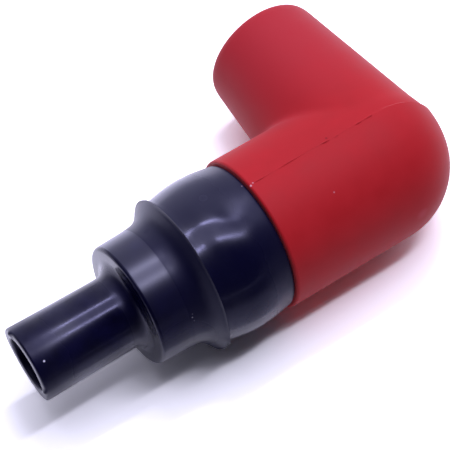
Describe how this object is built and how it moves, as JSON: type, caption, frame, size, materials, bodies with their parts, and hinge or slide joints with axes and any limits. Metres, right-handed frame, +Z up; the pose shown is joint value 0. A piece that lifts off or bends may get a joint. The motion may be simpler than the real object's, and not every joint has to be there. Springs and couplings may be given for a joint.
{
  "type": "spark plug cap",
  "caption": "Right-angled spark plug cap: a red moulded elbow with a tapered plug arm, and a black rubber boot that narrows to the ignition lead's tube.",
  "frame": {"origin": "on the surface that the cap lies on, under the middle of its bounding box", "axes": "+X along the lead arm from the tube's mouth to the elbow, +Y along the plug arm to its mouth, +Z up; the arms' axes cross at x 21.6 mm, y -7.4 mm, z 11 mm"},
  "size_m": [0.0652, 0.0368, 0.022],
  "materials": {
    "red_moulding": "silky matt red moulding with a fine parting line",
    "black_rubber": "smooth moulded black rubber, half glossy",
    "brass": "turned and pressed brass",
    "spring_steel": "bright drawn wire",
    "ceramic": "fired ceramic rod"
  },
  "bodies": {
    "root": {"cap_body": "red_moulding", "lead_boot": "black_rubber", "lead_screw": "brass", "contact_spring": "spring_steel", "resistor_outer_cap": "brass", "resistor_rod": "ceramic", "resistor_inner_cap": "brass", "plug_socket": "brass", "socket_clip": "spring_steel", "plug_seal": "black_rubber"}
  },
  "joints": []
}
